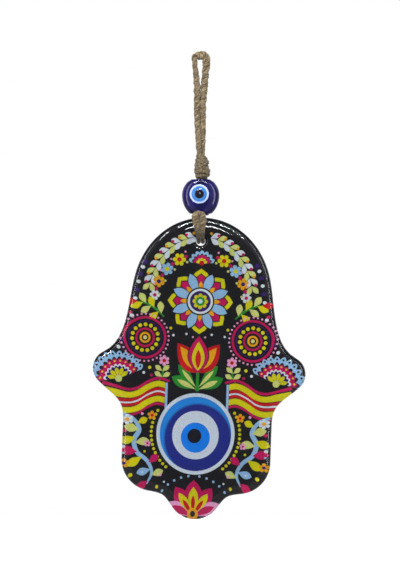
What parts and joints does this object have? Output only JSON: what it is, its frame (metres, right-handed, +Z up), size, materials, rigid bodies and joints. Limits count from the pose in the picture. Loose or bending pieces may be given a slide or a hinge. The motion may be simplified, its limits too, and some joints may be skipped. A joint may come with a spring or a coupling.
{
  "type": "hamsa hand ornament",
  "caption": "Hanging charm: a fused-glass hand with an eye in fired enamel, hitched to a jute cord with a stop knot, an eye bead and a hanging loop.",
  "frame": {"origin": "the spot under the crown of the cord's loop where a nail or hook bears", "axes": "+Z up, against the pull of the hanging hand; +Y back, away from the picture; +X to the right of someone who looks at the front"},
  "size_m": [0.1041, 0.0169, 0.2297],
  "materials": {
    "jute": "rough twisted plant fibre with loose hairs",
    "navy_bead_glass": "glossy, nearly opaque",
    "white_bead_glass": "glossy, opaque",
    "sky_bead_glass": "glossy, opaque",
    "black_bead_glass": "glossy, opaque",
    "clear_glass": "fire-polished, clear",
    "black_enamel": "fired enamel, smooth under the glass",
    "pale_enamel": "fired enamel, smooth under the glass",
    "navy_enamel": "fired enamel, smooth under the glass",
    "white_enamel": "fired enamel, smooth under the glass",
    "bright_blue_enamel": "fired enamel, smooth under the glass",
    "pupil_enamel": "fired enamel, smooth under the glass",
    "dark_backing_glass": "fire-polished, opaque"
  },
  "bodies": {
    "cord": {"loop_cord": "jute", "stop_knot": "jute", "bead_strands": "jute"},
    "bead": {"bead_body": "navy_bead_glass", "bead_white_drops": "white_bead_glass", "bead_blue_drops": "sky_bead_glass", "bead_pupil_drops": "black_bead_glass"},
    "hitch": {"hitch_cord": "jute"},
    "hand": {"clear_glass": "clear_glass", "enamel_ground": "black_enamel", "enamel_eye_rim": "pale_enamel", "enamel_eye_navy": "navy_enamel", "enamel_eye_white": "white_enamel", "enamel_eye_iris": "bright_blue_enamel", "enamel_eye_pupil": "pupil_enamel", "backing_glass": "dark_backing_glass"}
  },
  "joints": [
    {"name": "bead_spin", "type": "hinge", "parent": "cord", "child": "bead", "pos_m": [0, 0, -0.0664], "axis": [0, 0, 1], "continuous": true},
    {"name": "hitch_tilt", "type": "hinge", "parent": "cord", "child": "hitch", "pos_m": [0, -0.0046, -0.076], "axis": [1, 0, 0], "range_deg": [-10, 10]},
    {"name": "hand_swing", "type": "hinge", "parent": "hitch", "child": "hand", "pos_m": [0, -0.0046, -0.089], "axis": [0, 1, 0], "range_deg": [-10, 10]}
  ]
}
